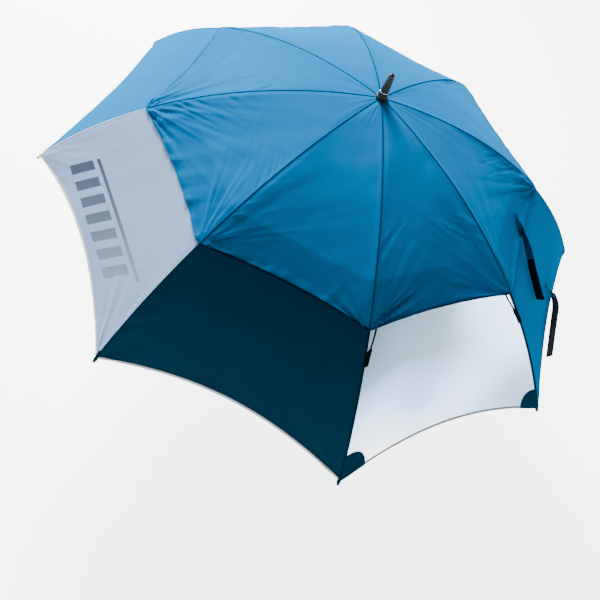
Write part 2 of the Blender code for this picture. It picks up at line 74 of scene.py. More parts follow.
# The canopy's arc, from the end of the rib that lies along +X
RIB_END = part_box("rib_5")
END_RADIUS = RIB_END[1].x + (RIB_DEPTH - RIB_RADIUS) * math.sin(SLOPE_TIP)
END_HEIGHT = RIB_END[0].z + (RIB_DEPTH + RIB_RADIUS) * math.cos(SLOPE_TIP)
ARC_RADIUS = END_RADIUS / (math.sin(SLOPE_TIP) - math.sin(SLOPE_TOP))
RIB_LENGTH = ARC_RADIUS * (SLOPE_TIP - SLOPE_TOP)
APEX_HEIGHT = END_HEIGHT + ARC_RADIUS * (math.cos(SLOPE_TOP) - math.cos(SLOPE_TIP))
UPPER_HEM = 0.619 * RIB_LENGTH
UPPER_SCALLOP = 0.014 * RIB_LENGTH
LOWER_TOP = 0.503 * RIB_LENGTH
LOWER_SCALLOP = 0.0637 * RIB_LENGTH

WINDOW = 2
LOWER_PANELS = ["lower_panel_white", "lower_panel_navy", "window_panel"]
LOWER_PANELS += [f"lower_panel_blue_{number + 1}" for number in range(RIBS - 3)]


# Places on the canopy


def rib_turn(number):
    """The azimuth of a rib, counted from 0."""
    x, y, _ = JOINTS[f"rib_fold_{number % RIBS + 1}"]["pos_m"]
    return math.atan2(y, x)


def slope_at(along):
    return SLOPE_TOP + (SLOPE_TIP - SLOPE_TOP) * along / RIB_LENGTH


def on_canopy(along, raised=0.0):
    """(radius, height) at a length along a rib's line, raised along the outward normal."""
    slope = slope_at(along)
    radius = ARC_RADIUS * (np.sin(slope) - math.sin(SLOPE_TOP)) + raised * np.sin(slope)
    drop = ARC_RADIUS * (math.cos(SLOPE_TOP) - np.cos(slope))
    return radius, APEX_HEIGHT - drop + raised * np.cos(slope)


def on_gore(number, across, along, raised):
    """Points between rib `number` and the next; across runs from 0 to 1."""
    radius, height = on_canopy(along, raised)
    first = rib_turn(number)
    second = first + SECTOR
    x = radius * ((1 - across) * math.cos(first) + across * math.cos(second))
    y = radius * ((1 - across) * math.sin(first) + across * math.sin(second))
    middle = first + SECTOR / 2
    slope = slope_at(along)
    chord = 2 * radius * math.sin(SECTOR / 2)
    inward = PANEL_SAG * 4 * across * (1 - across) * chord
    x = x - inward * np.sin(slope) * math.cos(middle)
    y = y - inward * np.sin(slope) * math.sin(middle)
    z = height - inward * np.cos(slope) + 0 * across
    return np.stack([x, y, z], -1)


def gore_normal(number, across, along, raised):
    """Outward unit normals of a smooth gore."""
    step = 0.002
    down = on_gore(number, across, along + step, raised) - on_gore(number, across, along - step, raised)
    side = on_gore(number, across + step, along, raised) - on_gore(number, across - step, along, raised)
    out = np.cross(down, side)
    return out / np.linalg.norm(out, axis=-1, keepdims=True)


def cloth_points(number, upper, across, along, lift=0.0):
    """Points on a gore's wrinkled cloth, or lifted off it."""
    raised = 0.0 if upper else -LAYER_STEP
    out = gore_normal(number, across, along, raised)
    height = wrinkles(number, upper, across, along) + lift
    return on_gore(number, across, along, raised) + out * height[..., None]


def chord_at(along):
    return 2 * on_canopy(along)[0] * math.sin(SECTOR / 2)


def normals_of(grid):
    """Unit normals of an (along, across) grid of points, outward for a gore."""
    out = np.cross(np.gradient(grid, axis=0), np.gradient(grid, axis=1))
    return out / np.maximum(np.linalg.norm(out, axis=-1, keepdims=True), 1e-12)


# Smooth noise, the same on every run


def noise(x, y, seed):
    """Value noise from -1 to 1."""
    cell_x = np.floor(x).astype(int)
    cell_y = np.floor(y).astype(int)

    def corner(i, j):
        mixed = (i * 374761393 + j * 668265263 + seed * 974634777) & 0xFFFFFFFF
        mixed = ((mixed ^ (mixed >> 13)) * 1274126177) & 0xFFFFFFFF
        return ((mixed ^ (mixed >> 16)) & 0xFFFF) / 32767.5 - 1

    u = x - cell_x
    v = y - cell_y
    u = u * u * (3 - 2 * u)
    v = v * v * (3 - 2 * v)
    low = corner(cell_x, cell_y) * (1 - u) + corner(cell_x + 1, cell_y) * u
    high = corner(cell_x, cell_y + 1) * (1 - u) + corner(cell_x + 1, cell_y + 1) * u
    return low * (1 - v) + high * v


def fade(value, start, end):
    """0 at start and 1 at end, smoothly."""
    share = np.clip((value - start) / (end - start), 0, 1)
    return share * share * (3 - 2 * share)


# Meshes


PLATE_EDGE = 0.0003
ARC_STEPS = 10


def make(name, points, faces, look, uvs=None, sharp=None):
    """A mesh object with one look; sharp is an angle in degrees."""
    mesh = bpy.data.meshes.new(name)
    mesh.from_pydata(np.asarray(points, float).reshape(-1, 3).tolist(), [], faces)
    if uvs is not None:
        layer = mesh.uv_layers.new(name="UVMap")
        layer.data.foreach_set("uv", np.asarray(uvs, np.float32).ravel())
    mesh.materials.append(look)
    mesh.shade_smooth()
    if sharp:
        mesh.set_sharp_from_angle(angle=math.radians(sharp))
    made = bpy.data.objects.new(name, mesh)
    bpy.context.scene.collection.objects.link(made)
    return made


def loft(name, rings, look, loop=False, sharp=35):
    """A skin over (ring, point) positions. UVs run along the rings and round them, in metres."""
    rings = np.asarray(rings, float)
    count, size = rings.shape[:2]
    centre = rings.mean(1)
    steps = np.linalg.norm(np.diff(centre, axis=0), axis=1)
    along = np.concatenate([[0], np.cumsum(np.maximum(steps, 1e-5))])
    edge = np.linalg.norm(np.diff(rings[count // 2], axis=0), axis=1)
    around = np.concatenate([[0], np.cumsum(edge)])
    last = along[-1] + 0.001
    girth = around[-1] + np.linalg.norm(rings[count // 2][0] - rings[count // 2][-1])
    faces = []
    uvs = []
    for i in range(count if loop else count - 1):
        nxt = (i + 1) % count
        a = along[i]
        b = along[i + 1] if i + 1 < count else last
        for j in range(size):
            other = (j + 1) % size
            faces.append((i * size + j, nxt * size + j, nxt * size + other, i * size + other))
            c = around[j]
            d = around[j + 1] if j + 1 < size else girth
            uvs += [(a, c), (b, c), (b, d), (a, d)]
    if not loop:
        faces.append(tuple(range(size)))
        faces.append(tuple((count - 1) * size + j for j in reversed(range(size))))
        uvs += [(0, 0)] * (2 * size)
    return make(name, rings, faces, look, uvs, sharp)


def rounded(points, radius, closed, steps=4):
    """A polyline of (radius, height) points with its corners rounded."""
    points = [Vector(point) for point in points]
    made = []
    count = len(points)
    for number, point in enumerate(points):
        if not closed and number in (0, count - 1):
            made.append(point)
            continue
        before = points[number - 1]
        after = points[(number + 1) % count]
        reach = min(radius, (before - point).length * 0.45, (after - point).length * 0.45)
        start = point + (before - point).normalized() * reach
        end = point + (after - point).normalized() * reach
        for step in range(steps + 1):
            t = step / steps
            made.append(start * (1 - t) ** 2 + point * 2 * t * (1 - t) + end * t * t)
    return made


def turned(name, points, look, closed=False, corner=0.0006, segments=64):
    """A part turned about Z; points run down its outer side."""
    profile = rounded(points, corner, closed)
    turn = np.linspace(0, 2 * math.pi, segments, endpoint=False)
    rings = []
    for radius, height in profile:
        radius = max(radius, 0.00002)
        rings.append(np.stack([radius * np.cos(turn), radius * np.sin(turn), 0 * turn + height], -1))
    return loft(name, rings, look, loop=closed, sharp=40)


def tube(name, points, radius, look, sides):
    """A round rod through points; radius is one number or one for each point."""
    points = np.asarray(points, float)
    radius = np.broadcast_to(radius, len(points))
    way = np.gradient(points, axis=0)
    way /= np.linalg.norm(way, axis=1, keepdims=True)
    side = np.cross(way[0], (0.0, 0.0, 1.0))
    if np.linalg.norm(side) < 1e-6:
        side = np.array((1.0, 0.0, 0.0))
    turn = np.linspace(0, 2 * math.pi, sides, endpoint=False)
    rings = []
    for point, ahead, size in zip(points, way, radius):
        side = side - ahead * (side @ ahead)
        side /= np.linalg.norm(side)
        lift = np.cross(ahead, side)
        rings.append(point + size * (np.outer(np.cos(turn), side) + np.outer(np.sin(turn), lift)))
    return loft(name, rings, look, sharp=50)


def place(made, matrix):
    """Moves a mesh's points, so that the object stays at the origin."""
    made.data.transform(matrix)
    return made


def plate(name, outline, thickness, look):
    """A flat plate across Y from an (x, z) outline, with softened edges."""
    count = len(outline)
    points = [(x, side * thickness / 2, z) for side in (-1, 1) for x, z in outline]
    faces = [tuple(range(count)), tuple(2 * count - 1 - j for j in range(count))]
    for j in range(count):
        other = (j + 1) % count
        faces.append((j, j + count, other + count, other))
    made = make(name, points, faces, look)
    soften = made.modifiers.new("soften", "BEVEL")
    soften.width = PLATE_EDGE
    soften.segments = 2
    soften.limit_method = "ANGLE"
    return applied(made)


def applied(made):
    """The object with its modifiers worked into its mesh."""
    bpy.context.view_layer.update()
    graph = bpy.context.evaluated_depsgraph_get()
    mesh = bpy.data.meshes.new_from_object(made.evaluated_get(graph))
    mesh.shade_smooth()
    mesh.set_sharp_from_angle(angle=math.radians(40))
    made.modifiers.clear()
    made.data = mesh
    return made


def stadium(radius, length):
    """An outline rounded about the origin, running up to a length."""
    arc = np.linspace(math.pi, 2 * math.pi, ARC_STEPS + 1)
    points = [(radius * math.cos(a), radius * math.sin(a)) for a in arc]
    return points + [(radius, length), (-radius, length)]


def joined(name, parts):
    """Several pieces as one object."""
    with bpy.context.temp_override(active_object=parts[0], selected_editable_objects=parts):
        bpy.ops.object.join()
    parts[0].name = name
    return parts[0]


# Materials


THREAD_PITCH = 0.0009
TAPE_PITCH = 0.0011
TAPE_WIDTH = 0.007
STITCH_PITCH = 0.0034


class Look:
    """A node material with a Principled shader and short helpers."""

    def __init__(self, name, colour, roughness, metallic=0.0):
        self.material = bpy.data.materials.new(name)
        self.material.use_nodes = True
        self.tree = self.material.node_tree
        self.shader = self.tree.nodes["Principled BSDF"]
        self.output = self.tree.nodes["Material Output"]
        self.shader.inputs["Base Color"].default_value = (*colour, 1.0)
        self.shader.inputs["Roughness"].default_value = roughness
        self.shader.inputs["Metallic"].default_value = metallic

    def node(self, kind, **settings):
        made = self.tree.nodes.new(kind)
        for key, value in settings.items():
            setattr(made, key, value)
        return made

    def link(self, start, end):
        self.tree.links.new(start, end)

    def uv(self, scale=(1.0, 1.0, 1.0)):
        mapping = self.node("ShaderNodeMapping")
        mapping.inputs["Scale"].default_value = scale
        self.link(self.node("ShaderNodeUVMap").outputs["UV"], mapping.inputs["Vector"])
        return mapping.outputs["Vector"]

    def place(self):
        return self.node("ShaderNodeTexCoord").outputs["Object"]

    def noise(self, where, scale, detail=3.0, roughness=0.55):
        made = self.node("ShaderNodeTexNoise")
        self.link(where, made.inputs["Vector"])
        made.inputs["Scale"].default_value = scale
        made.inputs["Detail"].default_value = detail
        made.inputs["Roughness"].default_value = roughness
        return made.outputs["Fac"]

    def wave(self, pitch, direction):
        """Straight waves over the UVs, a pitch apart."""
        made = self.node("ShaderNodeTexWave", bands_direction=direction)
        self.link(self.uv(), made.inputs["Vector"])
        made.inputs["Scale"].default_value = 1 / pitch / 6.28
        return made.outputs["Fac"]

    def math(self, operation, first, second=0.0, third=0.0):
        made = self.node("ShaderNodeMath", operation=operation)
        for socket, value in zip(made.inputs, (first, second, third)):
            if isinstance(value, (int, float)):
                socket.default_value = value
            else:
                self.link(value, socket)
        return made.outputs["Value"]

    def ramp(self, value, stops):
        made = self.node("ShaderNodeValToRGB")
        self.link(value, made.inputs["Fac"])
        elements = made.color_ramp.elements
        while len(elements) < len(stops):
            elements.new(0.5)
        for element, (at, colour) in zip(elements, stops):
            element.position = at
            element.color = (*colour, 1.0)
        return made.outputs["Color"]

    def span(self, value, low, high):
        made = self.node("ShaderNodeMapRange")
        self.link(value, made.inputs["Value"])
        made.inputs["To Min"].default_value = low
        made.inputs["To Max"].default_value = high
        return made.outputs["Result"]

    def mix(self, share, first, second, blend="MIX"):
        """A colour mix; first and second are colours or sockets."""
        made = self.node("ShaderNodeMix", data_type="RGBA", blend_type=blend)
        if isinstance(share, (int, float)):
            made.inputs[0].default_value = share
        else:
            self.link(share, made.inputs[0])
        for socket, value in ((made.inputs[6], first), (made.inputs[7], second)):
            if isinstance(value, tuple):
                socket.default_value = (*value, 1.0)
            else:
                self.link(value, socket)
        return made.outputs[2]

    def bump(self, height, strength, distance=0.0005):
        made = self.node("ShaderNodeBump")
        made.inputs["Strength"].default_value = strength
        made.inputs["Distance"].default_value = distance
        self.link(height, made.inputs["Height"])
        self.link(made.outputs["Normal"], self.shader.inputs["Normal"])
        return made.outputs["Normal"]

    def blend_in(self, added, base):
        """A surface of two shaders; the returned node's first input is the share of the added one."""
        both = self.node("ShaderNodeMixShader")
        self.link(base.outputs["BSDF"], both.inputs[1])
        self.link(added.outputs["BSDF"], both.inputs[2])
        self.link(both.outputs["Shader"], self.output.inputs["Surface"])
        return both


def cloth(name, colour, glow, through, roughness=0.55, print_on=None):
    """Woven nylon: crossed threads, soft sheen, faint streaks, and a little light through it."""
    look = Look(name, colour, roughness)
    warp = look.wave(THREAD_PITCH, "X")
    weft = look.wave(THREAD_PITCH, "Y")
    weave = look.math("MULTIPLY", warp, weft)
    slub = look.noise(look.uv((260.0, 9.0, 1.0)), 1.0, 2.0)
    cloud = look.noise(look.place(), 7.0, 4.0)
    dark = tuple(0.95 * c for c in colour)
    light = tuple(min(1.0, 1.05 * c) for c in colour)
    toned = look.ramp(cloud, [(0.30, dark), (0.70, light)])
    shade = look.math("MULTIPLY", look.span(weave, 0.90, 1.04), look.span(slub, 0.95, 1.05))
    grey = look.node("ShaderNodeCombineColor")
    for socket in grey.inputs:
        look.link(shade, socket)
    coloured = look.mix(1.0, toned, grey.outputs["Color"], "MULTIPLY")
    if print_on:
        mask, ink = print_on(look)
        coloured = look.mix(mask, coloured, ink)
    look.link(coloured, look.shader.inputs["Base Color"])
    look.link(look.span(cloud, roughness - 0.06, roughness + 0.06), look.shader.inputs["Roughness"])
    look.shader.inputs["Specular IOR Level"].default_value = 0.0
    look.shader.inputs["Sheen Weight"].default_value = 0.25
    look.shader.inputs["Sheen Roughness"].default_value = 0.45
    look.shader.inputs["Sheen Tint"].default_value = (*glow, 1.0)
    crumple = look.noise(look.place(), 55.0, 4.0, 0.6)
    height = look.math("ADD", look.math("MULTIPLY", weave, 0.35), look.math("MULTIPLY", crumple, 1.6))
    normal = look.bump(height, 0.35, 0.0004)
    glowing = look.node("ShaderNodeBsdfTranslucent")
    glowing.inputs["Color"].default_value = (*glow, 1.0)
    look.link(normal, glowing.inputs["Normal"])
    look.blend_in(glowing, look.shader).inputs[0].default_value = through
    return look.material


def film():
    """Clear window film with a painted reflection over a random cloud: a gradient along it and across it
    tones it from dark grey-blue to white; faint ripples and fine scuffs.
    """
    look = Look("window_film", (0.36, 0.42, 0.46), 0.30)
    haze = look.noise(look.place(), 9.0, 5.0)
    broad = look.noise(look.place(), 4.0, 1.0)
    position = look.node("ShaderNodeSeparateXYZ")
    look.link(look.uv(), position.inputs["Vector"])
    # Painted reflection and shade: a gradient down the film and a lean to one side, from dark grey-blue to
    # white
    down = look.math("MULTIPLY_ADD", position.outputs["Y"], 3.0, -1.6)
    sideways = look.math("MULTIPLY", position.outputs["X"], 4.0)
    painted_light_lean = look.math("MULTIPLY", sideways, look.math("MULTIPLY_ADD", down, -0.85, 0.50))
    cloud_and_painted_light = look.math("MULTIPLY_ADD", broad, 0.60, look.math("MULTIPLY_ADD", down, 0.30, painted_light_lean))
    # Ramp of the painted reflection, from dark grey-blue to white
    painted_light_tones = [(0.10, (0.050, 0.085, 0.105)), (0.42, (0.15, 0.21, 0.26)), (0.66, (0.36, 0.55, 0.80))]
    painted_light_tones += [(0.95, (0.96, 0.99, 1.0))]
    toned = look.ramp(look.math("ADD", cloud_and_painted_light, 0.14), painted_light_tones)
    look.link(toned, look.shader.inputs["Base Color"])
    scuff = look.noise(look.uv((30.0, 260.0, 1.0)), 1.0, 3.0)
    look.link(look.span(scuff, 0.22, 0.42), look.shader.inputs["Roughness"])
    look.bump(look.math("ADD", haze, look.math("MULTIPLY", scuff, 0.08)), 0.25, 0.004)
    look.shader.inputs["Specular IOR Level"].default_value = 0.6
    clear = look.node("ShaderNodeBsdfTransparent")
    look.link(toned, clear.inputs["Color"])
    look.link(look.span(haze, 0.14, 0.26), look.blend_in(look.shader, clear).inputs[0])
    return look.material


def printed(look):
    """A plain row of slanted bars that fades from dark to pale, and a thin line beside it."""
    position = look.node("ShaderNodeSeparateXYZ")
    look.link(look.uv(), position.inputs["Vector"])
    middle = 0.745
    slant = 0.45
    start = 0.172
    length = 0.342
    bars = 7.0
    height = look.math("SUBTRACT", position.outputs["Y"], middle)
    slanted = look.math("ADD", position.outputs["X"], look.math("MULTIPLY", height, slant))
    place_at = look.math("DIVIDE", look.math("ADD", slanted, start), length)
    begun = look.math("GREATER_THAN", place_at, 0.0)
    inside = look.math("MULTIPLY", begun, look.math("LESS_THAN", place_at, 1.0))
    bar = look.math("LESS_THAN", look.math("FRACT", look.math("MULTIPLY", place_at, bars)), 0.56)
    bar = look.math("MULTIPLY", bar, look.math("LESS_THAN", look.math("ABSOLUTE", height), 0.034))
    line = look.math("LESS_THAN", look.math("ABSOLUTE", look.math("ADD", height, 0.050)), 0.0045)
    mask = look.math("MULTIPLY", inside, look.math("MAXIMUM", bar, line))
    inks = [(0.0, (0.003, 0.006, 0.016)), (0.45, (0.050, 0.070, 0.110)), (1.0, (0.19, 0.23, 0.30))]
    return mask, look.ramp(place_at, inks)


def tape(name, colour, thread):
    """Folded tape with a ribbed weave and a row of stitches."""
    look = Look(name, colour, 0.6)
    position = look.node("ShaderNodeSeparateXYZ")
    look.link(look.uv(), position.inputs["Vector"])
    dash = look.math("FRACT", look.math("DIVIDE", position.outputs["X"], STITCH_PITCH))
    dash = look.math("LESS_THAN", dash, 0.72)
    fold = look.math("PINGPONG", position.outputs["Y"], TAPE_WIDTH)
    off_row = look.math("ABSOLUTE", look.math("SUBTRACT", fold, TAPE_WIDTH * 0.30))
    near = look.math("LESS_THAN", off_row, 0.00035)
    stitch = look.math("MULTIPLY", dash, near)
    look.link(look.mix(stitch, colour, thread), look.shader.inputs["Base Color"])
    rib = look.wave(TAPE_PITCH, "X")
    height = look.math("ADD", look.math("MULTIPLY", rib, 0.4), look.math("MULTIPLY", stitch, 1.2))
    look.bump(height, 0.5, 0.0003)
    look.shader.inputs["Specular IOR Level"].default_value = 0.0
    return look.material


def moulded(name, colour, roughness, grain=220.0, depth=0.18):
    """Moulded nylon or rubber with a fine texture and scuffed, slightly uneven gloss."""
    look = Look(name, colour, roughness)
    broad = look.noise(look.place(), 24.0, 4.0)
    fine = look.noise(look.place(), grain * 6, 2.0)
    dark = tuple(0.8 * c for c in colour)
    light = tuple(1.35 * c + 0.004 for c in colour)
    look.link(look.ramp(broad, [(0.3, dark), (0.75, light)]), look.shader.inputs["Base Color"])
    look.link(look.span(broad, roughness - 0.08, roughness + 0.10), look.shader.inputs["Roughness"])
    look.bump(look.math("ADD", fine, look.math("MULTIPLY", broad, 0.4)), depth, 0.0003)
    look.shader.inputs["Specular IOR Level"].default_value = 0.25
    return look.material


def metal(name, colour, roughness):
    """Drawn or turned metal with fine lines round it."""
    look = Look(name, colour, roughness, 1.0)
    lines = look.noise(look.uv((900.0, 20.0, 1.0)), 1.0, 3.0)
    look.link(look.span(lines, roughness - 0.06, roughness + 0.12), look.shader.inputs["Roughness"])
    look.bump(lines, 0.12, 0.0002)
    return look.material


BLUE = (0.0, 0.115, 0.300)
LOOKS = {
    "blue": cloth("blue_nylon", BLUE, (0.0, 0.30, 0.70), 0.02, 0.50),
    "navy": cloth("navy_nylon", (0.001, 0.034, 0.068), (0.0, 0.05, 0.10), 0.01, 0.50),
    "white": cloth("white_nylon", (0.24, 0.37, 0.60), (0.50, 0.64, 0.88), 0.03, print_on=printed),
    "film": film(),
    "white_tape": tape("white_tape", (0.62, 0.64, 0.68), (0.85, 0.85, 0.85)),
    "grey_tape": tape("grey_tape", (0.30, 0.31, 0.33), (0.60, 0.60, 0.60)),
    "blue_tape": tape("blue_tape", (0.0, 0.085, 0.230), (0.0, 0.16, 0.40)),
    # Seam tape much darker than the cloth: painted shade along the creases over the ribs and under the
    # window's upper hem
    "seam": tape("seam_painted_shade_tape", (0.0, 0.038, 0.105), (0.0, 0.06, 0.16)),
    # Near-black hem tape, which paints the shadow beneath the upper hem
    "hem_painted_shadow_tape": tape("hem_painted_shadow_tape", (0.0, 0.012, 0.026), (0.0, 0.02, 0.045)),
    "navy_tape": tape("navy_tape", (0.0, 0.020, 0.038), (0.005, 0.05, 0.09)),
    "rod": moulded("black_fibreglass", (0.010, 0.010, 0.011), 0.38, 300.0, 0.08),
    "nylon": moulded("black_moulded_nylon", (0.009, 0.009, 0.010), 0.46),
    "gloss": moulded("black_gloss_plastic", (0.006, 0.006, 0.007), 0.34, 120.0, 0.05),
    "hook": tape("hook_tape", (0.006, 0.008, 0.011), (0.02, 0.02, 0.025)),
    "strap": tape("strap_webbing", (0.0, 0.055, 0.150), (0.0, 0.12, 0.28)),
    "rubber": moulded("grip_rubber", (0.014, 0.014, 0.015), 0.72, 160.0, 0.35),
    "grey": moulded("grey_plastic", (0.13, 0.13, 0.14), 0.45),
    "steel": metal("steel_wire", (0.56, 0.56, 0.57), 0.30),
    "silver": metal("silver_ring", (0.80, 0.80, 0.82), 0.16),
}

# The looks of gores and ribs, by number; what isn't named is blue
LOWER_CLOTHS = {0: "white", 1: "navy", WINDOW: "film"}
# The upper hems of gore 1 and the window use dark tape, which paints the shadow beneath the hem
UPPER_HEMS = {1: "hem_painted_shadow_tape", WINDOW: "seam"}
LOWER_HEMS = {0: "white_tape", 1: "white_tape", WINDOW: "grey_tape"}
TIP_POCKETS = {0: "white_tape", 1: "navy_tape", 2: "navy_tape", 3: "navy_tape"}
LOWER_SEAMS = {**TIP_POCKETS, 4: "navy_tape"}


# Canopy cloth


# How strongly each gore is creased at its two sides, and along its upper hem
CREASES = [(1.4, 1.2, 2.0), (0.9, 0.6, 1.3), (1.3, 1.7, 1.0), (0.7, 0.8, 0.6)]
CREASES += [(0.6, 0.6, 0.6), (0.5, 0.5, 0.5), (0.5, 0.6, 0.6), (0.7, 1.1, 1.0)]


def wrinkles(number, upper, across, along):
    """How far the cloth stands out of its smooth shape."""
    seed = number * 17 + (3 if upper else 11)
    chord = chord_at(along)
    width = across * chord
    near = np.minimum(across, 1 - across) * chord
    left = across < 0.5
    first, second, at_hem = CREASES[number]
    strength = np.where(left, first, second)
    hem = UPPER_HEM if upper else RIB_LENGTH
    up = np.maximum(hem - along, 0.0)
    off_rib = fade(near, 0.0, 0.014)
    side = np.where(left, 5, 77)
    slanted = along + 0.9 * near
    patch = fade(noise(along / 0.09 + side, 0 * along, seed + 5), -0.2, 0.7)
    crease = 1 - 2 * np.abs(noise(slanted / 0.017 + side, near / 0.07, seed))
    rising = 0.25 + 0.75 * np.exp(-up / 0.20)
    total = 0.0034 * strength * crease * patch * rising * np.exp(-near / 0.045)
    total = total + 0.0026 * noise(width / 0.12, along / 0.16, seed + 1)
    total = total + 0.0008 * noise(width / 0.040, along / 0.06, seed + 2)
    total = total + 0.0020 * at_hem * noise(width / 0.016, up / 0.09, seed + 3) * np.exp(-up / 0.035)
    for corner in (0, 1):
        away = np.abs(across - corner) * chord
        reach = np.hypot(away, up) + 1e-6
        angle = np.arctan2(away, up)
        fan = noise(angle / 0.13 + 9 * corner, reach / 0.20, seed + 6 + corner)
        fan = fan + 0.5 * noise(angle / 0.06 + 9 * corner, reach / 0.12, seed + 8 + corner)
        size = 0.0064 * (first, second)[corner]
        total = total + size * fan * fade(reach, 0.0, 0.035) * np.exp(-reach / 0.085)
    taut = 0.15 if number == WINDOW else 0.42
    total = total * off_rib * (1.0 if upper else taut)
    if upper:
        gathers = noise(across * 11, along / 0.2, seed + 10) * np.exp(-along / 0.10)
        total = total + 0.0009 * gathers * fade(along, 0.012, 0.05) * off_rib
        bow = 4 * across * (1 - across)
        total = total + 0.0022 * bow * fade(along, UPPER_HEM - 0.05, UPPER_HEM)
        return np.maximum(total, -0.0006 - 0.004 * fade(LOWER_TOP - along, -0.01, 0.03))
    return total * fade(along, UPPER_HEM - 0.01, UPPER_HEM + 0.03)


def gore_grid(number, upper, columns, lines):
    """(points, normals, across, along) of one gore's cloth, as an (along, across) grid."""
    across = np.linspace(0, 1, columns + 1)[None, :]
    share = np.linspace(0, 1, lines + 1)[:, None]
    bow = 4 * across * (1 - across)
    if upper:
        start = PANEL_TOP
        end = UPPER_HEM - UPPER_SCALLOP * bow
    else:
        start = LOWER_TOP
        end = lower_hem(across)
    along = start + (end - start) * share
    across = across + 0 * along
    grid = cloth_points(number, upper, across, along)
    return grid, normals_of(grid), across, along


def lower_hem(across):
    bow = 4 * across * (1 - across)
    return RIB_LENGTH - TIP_SETBACK - (LOWER_SCALLOP - TIP_SETBACK) * bow


def half_gore(name, points, out, across, along, look):
    """One side of a gore, with the whole gore's normals so that the join at its middle is smooth."""
    lines, columns = points.shape[:2]
    width = (across - 0.5) * chord_at(along)
    faces = []
    uvs = []
    for i in range(lines - 1):
        for j in range(columns - 1):
            corners = ((i, j), (i + 1, j), (i + 1, j + 1), (i, j + 1))
            faces.append(tuple(a * columns + b for a, b in corners))
            uvs += [(width[a, b], along[a, b]) for a, b in corners]
    made = make(name, points, faces, look, uvs)
    made.data.normals_split_custom_set_from_vertices(out.reshape(-1, 3).tolist())
    return made


def attach(made, rib, keep=None):
    """made rides on a rib; when keep (the share of it left as the umbrella folds) is given, made gets a
    mesh of its own.
    """
    body = f"rib_{rib % RIBS + 1}"
    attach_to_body(made, body)
    if keep:
        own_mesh(made)
    return made


def hem_rings(number, upper, across, width):
    """Rings of a folded tape that follows the edge of a gore's cloth."""
    bow = 4 * across * (1 - across)
    edge = UPPER_HEM - UPPER_SCALLOP * bow if upper else lower_hem(across)
    half = 0.0008
    section = [(width, 0.35), (width * 0.92, 1.0), (width * 0.66, 1.0), (width * 0.33, 1.0), (0.0006, 1.0)]
    section += [(-0.0005, 0.6), (-0.0008, 0.0)]
    section += [(up, -out) for up, out in reversed(section[:-1])]
    rings = [cloth_points(number, upper, across, edge - up, out * half) for up, out in section]
    return np.stack(rings, 1)


def panel(number, upper):
    """One gore of a layer and its hem tape, as two halves that each ride on their own rib."""
    columns, lines = (76, 116) if upper else (96, 76)
    layer = "upper" if upper else "lower"
    node = f"upper_panel_{number + 1}" if upper else LOWER_PANELS[number]
    look = LOOKS["blue" if upper else LOWER_CLOTHS.get(number, "blue")]
    hem_look = LOOKS[(UPPER_HEMS if upper else LOWER_HEMS).get(number, "blue_tape")]
    hem_width = UPPER_HEM_WIDTH if upper else LOWER_HEM_WIDTH
    keep = UPPER_KEEP if upper else LOWER_KEEP
    grid, out, across, along = gore_grid(number, upper, columns, lines)
    middle = columns // 2
    for half, part in enumerate((slice(0, middle + 1), slice(middle, None))):
        side = "ab"[half]
        name = f"{layer}_cloth_{number + 1}{side}"
        made = half_gore(name, grid[:, part], out[:, part], across[:, part], along[:, part], look)
        attach(made, number + half, keep)
        if half == 0:
            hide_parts(node)
        rings = hem_rings(number, upper, across[-1, part], hem_width)
        hem = loft(f"{layer}_hem_{number + 1}{side}", rings, hem_look, sharp=60)
        attach(hem, number + half, keep)


def patch_mesh(name, number, across, along, lift, look, rib):
    """A thin layer of cloth that follows a lower gore, from an (i, j) grid of places on it."""
    thick = 0.0006
    top = cloth_points(number, False, across, along, lift + thick)
    rows, columns = across.shape
    low = cloth_points(number, False, across, along, lift)
    for edge in (0, -1):
        top[edge] = low[edge] * 0.5 + top[edge] * 0.5
    width = (across - 0.5) * chord_at(along)
    points = np.concatenate([top.reshape(-1, 3), low.reshape(-1, 3)])
    flat = np.stack([np.stack([width, along], -1).reshape(-1, 2)] * 2).reshape(-1, 2)
    faces = []
    for i in range(rows - 1):
        for j in range(columns - 1):
            a = i * columns + j
            quad = (a, a + columns, a + columns + 1, a + 1)
            faces.append(quad)
            faces.append(tuple(v + rows * columns for v in reversed(quad)))
    rim = [(i, 0) for i in range(rows)]
    rim += [(rows - 1, j) for j in range(1, columns)]
    rim += [(i, columns - 1) for i in reversed(range(rows - 1))]
    rim += [(0, j) for j in reversed(range(1, columns - 1))]
    rim = [i * columns + j for i, j in rim]
    for a, b in zip(rim, rim[1:] + rim[:1]):
        faces.append((b, a, a + rows * columns, b + rows * columns))
    uvs = [flat[v] for face in faces for v in face]
    made = make(name, points, faces, look, uvs, sharp=50)
    return attach(made, rib, LOWER_KEEP)


def window_trim():
    """Sewn margins along the window's two ribs, and a rounded patch at each lower corner."""
    margin = 0.0036
    patch = 0.058
    for corner in (0, 1):
        sign = 1 - 2 * corner
        rib = WINDOW + corner
        along = np.linspace(UPPER_HEM - 0.02, RIB_LENGTH - TIP_SETBACK - 0.002, 70)[:, None]
        offset = np.linspace(0.0002, margin, 5)[None, :]
        across = corner + sign * offset / chord_at(along)
        along = along + 0 * across
        if corner:
            across = across[:, ::-1]
            along = along[:, ::-1]
        name = f"window_margin_{corner + 1}"
        patch_mesh(name, WINDOW, across, along, 0.0003, LOOKS["navy_tape"], rib)
        turn = np.linspace(0.0, math.pi / 2, 22)[:, None]
        reach = np.linspace(0.0, 1.0, 14)[None, :] * patch
        away = 0.0003 + reach * np.sin(turn)
        up = reach * np.cos(turn) * 1.05
        across = corner + sign * away / chord_at(RIB_LENGTH)
        along = lower_hem(across) + 0.0006 - up
        if not corner:
            across = across[::-1]
            along = along[::-1]
        patch_mesh(f"window_patch_{corner + 1}", WINDOW, across, along, 0.0018, LOOKS["navy"], rib)


